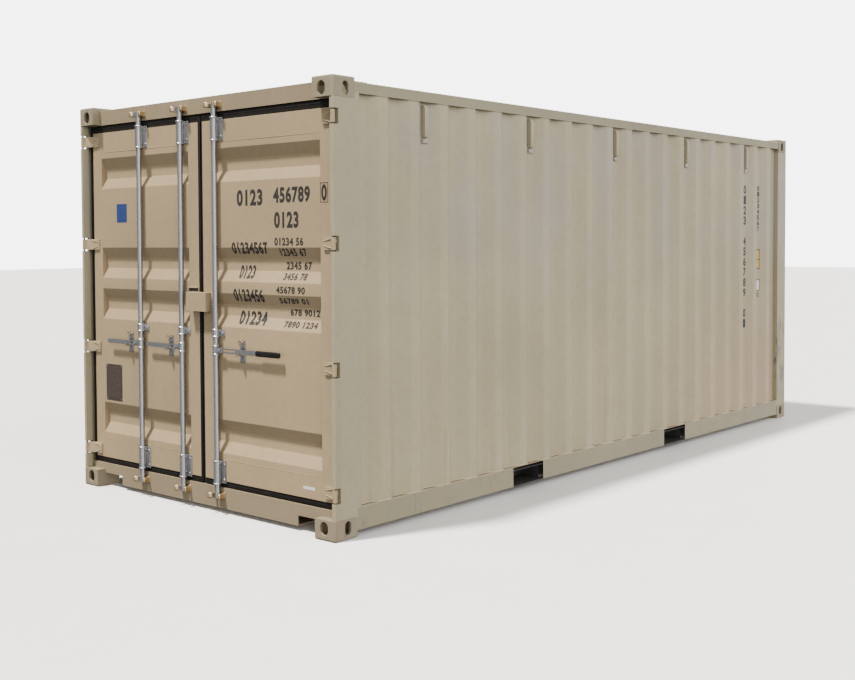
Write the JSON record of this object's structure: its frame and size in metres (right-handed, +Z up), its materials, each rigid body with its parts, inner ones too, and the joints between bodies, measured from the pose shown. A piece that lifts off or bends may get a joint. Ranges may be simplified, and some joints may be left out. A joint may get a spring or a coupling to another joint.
{
  "type": "shipping container",
  "caption": "Corrugated steel cargo container with hinged double end doors, locking bars, corner castings, fork pockets and a plywood floor.",
  "frame": {"origin": "on the ground under the middle of the container", "axes": "+X from the door end to the blind front end, +Y to the left side seen facing the front, +Z up"},
  "size_m": [6.058, 2.438, 2.591],
  "materials": {
    "frame_paint": "satin sand-beige container paint, scuffed",
    "wall_paint": "satin sand-beige container paint on sheet steel",
    "casting_paint": "sand-beige paint worn at the edges",
    "galvanised": "dull galvanised steel",
    "rubber": "black rubber seal",
    "plywood": "sealed hardwood plywood",
    "underbody": "dark waxy underseal",
    "grip_rubber": "black handle grip",
    "pin_steel": "greasy steel"
  },
  "bodies": {
    "container": {"bar_keepers": "galvanised", "bottom_corner_castings": "casting_paint", "cargo_floor": "plywood", "cross_members": "underbody", "door_header": "frame_paint", "door_sill": "frame_paint", "fork_pocket_sides": "underbody", "fork_pocket_straps": "underbody", "fork_pocket_tops": "underbody", "front_bottom_rail": "frame_paint", "front_header_plate": "wall_paint", "front_top_rail": "frame_paint", "front_wall": "wall_paint", "hinge_pins": "pin_steel", "left_bottom_side_rail": "frame_paint", "left_front_post": "frame_paint", "left_rear_post": "frame_paint", "left_side_vents": "wall_paint", "left_side_wall": "wall_paint", "left_top_side_rail": "frame_paint", "rail_bridges": "frame_paint", "right_bottom_side_rail": "frame_paint", "right_front_post": "frame_paint", "right_rear_post": "frame_paint", "right_side_vents": "wall_paint", "right_side_wall": "wall_paint", "right_top_side_rail": "frame_paint", "roof": "wall_paint", "roof_corner_plates": "wall_paint", "top_corner_castings": "casting_paint"},
    "left_door": {"left_door_frame": "frame_paint", "left_door_panel": "wall_paint", "left_door_gasket": "rubber", "left_door_hinge_blades": "frame_paint", "left_door_brackets": "galvanised", "left_door_catches": "galvanised", "left_door_lock_lug": "frame_paint"},
    "right_door": {"right_door_frame": "frame_paint", "right_door_panel": "wall_paint", "right_door_gasket": "rubber", "right_door_hinge_blades": "frame_paint", "right_door_brackets": "galvanised", "right_door_catch": "galvanised", "right_door_lock_lug": "frame_paint", "lock_box": "frame_paint"},
    "outer_left_bar": {"bar_1": "galvanised"},
    "inner_left_bar": {"bar_2": "galvanised"},
    "right_bar": {"bar_3": "galvanised"},
    "outer_left_handle": {"handle_1": "galvanised"},
    "inner_left_handle": {"handle_2": "galvanised"},
    "right_handle": {"handle_3": "galvanised", "handle_3_grip": "grip_rubber"}
  },
  "joints": [
    {"name": "left_door_hinge", "type": "hinge", "parent": "container", "child": "left_door", "pos_m": [-3.012, 1.203, 1.3065], "axis": [0, 0, -1], "range_deg": [0, 262]},
    {"name": "right_door_hinge", "type": "hinge", "parent": "container", "child": "right_door", "pos_m": [-3.012, -1.203, 1.3065], "axis": [0, 0, 1], "range_deg": [0, 262]},
    {"name": "outer_left_bar_turn", "type": "hinge", "parent": "left_door", "child": "outer_left_bar", "pos_m": [-2.991, 0.596, 1.3105], "axis": [0, 0, -1], "range_deg": [-90, 0]},
    {"name": "outer_left_handle_lift", "type": "hinge", "parent": "outer_left_bar", "child": "outer_left_handle", "pos_m": [-2.999, 0.642, 1.012], "axis": [1, 0, 0], "range_deg": [0, 15]},
    {"name": "inner_left_bar_turn", "type": "hinge", "parent": "left_door", "child": "inner_left_bar", "pos_m": [-2.991, 0.166, 1.3105], "axis": [0, 0, -1], "range_deg": [-90, 0]},
    {"name": "inner_left_handle_lift", "type": "hinge", "parent": "inner_left_bar", "child": "inner_left_handle", "pos_m": [-2.999, 0.212, 1.012], "axis": [1, 0, 0], "range_deg": [0, 15]},
    {"name": "right_bar_turn", "type": "hinge", "parent": "right_door", "child": "right_bar", "pos_m": [-2.991, -0.166, 1.3105], "axis": [0, 0, 1], "range_deg": [-90, 0]},
    {"name": "right_handle_lift", "type": "hinge", "parent": "right_bar", "child": "right_handle", "pos_m": [-2.999, -0.212, 1.012], "axis": [-1, 0, 0], "range_deg": [0, 15]}
  ]
}
